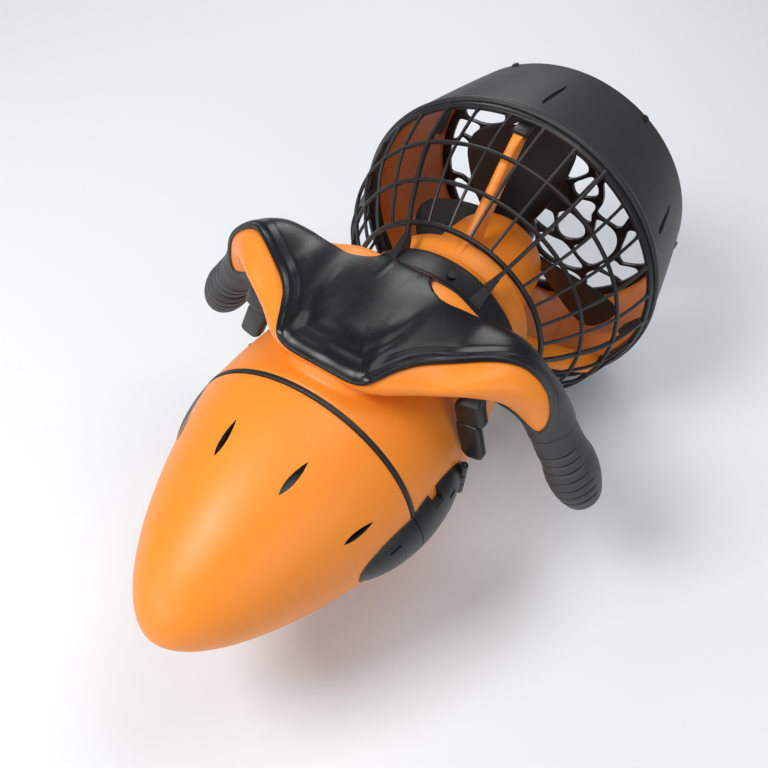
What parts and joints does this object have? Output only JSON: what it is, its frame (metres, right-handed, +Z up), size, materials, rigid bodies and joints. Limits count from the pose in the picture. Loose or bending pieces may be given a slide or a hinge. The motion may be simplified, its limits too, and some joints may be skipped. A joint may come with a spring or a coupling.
{
  "type": "underwater scooter",
  "caption": "Hand-held underwater scooter: bullet nose on side latches, winged handlebar with hanging grips and triggers, caged propeller in a tapered duct.",
  "frame": {"origin": "centre of the rear guard's hub face, on the thrust axis in the tail plane", "axes": "+Y along the thrust axis out of the tail, the nose points to -Y, +Z up through the handlebar, +X to the right-hand grip as seen with the nose pointing away from +Y"},
  "size_m": [0.3692, 0.5768, 0.29],
  "materials": {
    "orange": "satin moulded",
    "black_shell": "satin moulded",
    "black_trim": "semi-gloss moulded",
    "rubber": "semi-gloss soft-touch",
    "seal": "matt",
    "grey_plastic": "matt moulded",
    "battery": "shrink film",
    "strap": "woven webbing",
    "steel": "zinc plated",
    "stainless": "polished",
    "alloy": "machined",
    "magnet": "matt",
    "cable": "matt"
  },
  "bodies": {
    "hull": {"battery_blocks": "battery", "battery_connector": "black_trim", "battery_cradle": "grey_plastic", "battery_strap": "strap", "collar_screws": "black_trim", "control_box": "grey_plastic", "duct_liner": "orange", "front_guard": "black_shell", "grip_left": "rubber", "grip_right": "rubber", "handlebar_core": "orange", "handlebar_screws": "stainless", "hull_shell": "orange", "latch_hinge_left": "black_trim", "latch_hinge_right": "black_trim", "latch_pins": "stainless", "motor_bearings": "stainless", "motor_case": "steel", "motor_lead": "cable", "motor_magnets": "magnet", "motor_plate": "alloy", "motor_screws": "stainless", "rear_guard": "black_shell", "rear_guard_screws": "black_trim", "reed_switches": "grey_plastic", "saddle_cover": "rubber", "seal_housing": "grey_plastic", "shaft_seals": "seal", "shroud_ring": "black_shell", "strut_clamps": "black_trim", "tail_pod": "orange", "trigger_bracket_left": "black_trim", "trigger_bracket_right": "black_trim", "trigger_cable": "cable", "trigger_pins": "stainless"},
    "nose": {"nose_cone": "orange", "seal_ring": "seal", "nose_bulkhead": "grey_plastic", "buoyancy_chamber": "grey_plastic", "buoyancy_plug": "black_trim", "latch_keeper_left": "black_trim", "latch_keeper_right": "black_trim"},
    "drive": {"motor_rotor": "steel", "drive_shaft": "stainless", "propeller": "black_shell", "drive_pin": "stainless", "propeller_nut": "stainless"},
    "latch_left": {"latch_lever_left": "black_trim"},
    "latch_right": {"latch_lever_right": "black_trim"},
    "trigger_left": {"trigger_left": "black_trim", "trigger_magnet_left": "magnet"},
    "trigger_right": {"trigger_right": "black_trim", "trigger_magnet_right": "magnet"}
  },
  "joints": [
    {"name": "propeller_spin", "type": "hinge", "parent": "hull", "child": "drive", "pos_m": [0, -0.11, 0], "axis": [0, 1, 0], "continuous": true},
    {"name": "nose_slide", "type": "slide", "parent": "hull", "child": "nose", "axis": [0, -1, 0], "range_m": [0, 0.15]},
    {"name": "latch_right_swing", "type": "hinge", "parent": "hull", "child": "latch_right", "pos_m": [0.0956, -0.351, 0.004], "axis": [0, 0, 1], "range_deg": [0, 75]},
    {"name": "latch_left_swing", "type": "hinge", "parent": "hull", "child": "latch_left", "pos_m": [-0.0956, -0.351, 0.004], "axis": [0, 0, -1], "range_deg": [0, 75]},
    {"name": "trigger_right_pull", "type": "hinge", "parent": "hull", "child": "trigger_right", "pos_m": [0.0905, -0.344, 0.077], "axis": [0, -1, 0], "range_deg": [0, 14], "stiffness_Nm_per_rad": 0.6},
    {"name": "trigger_left_pull", "type": "hinge", "parent": "hull", "child": "trigger_left", "pos_m": [-0.0905, -0.344, 0.077], "axis": [0, 1, 0], "range_deg": [0, 14], "stiffness_Nm_per_rad": 0.6}
  ]
}
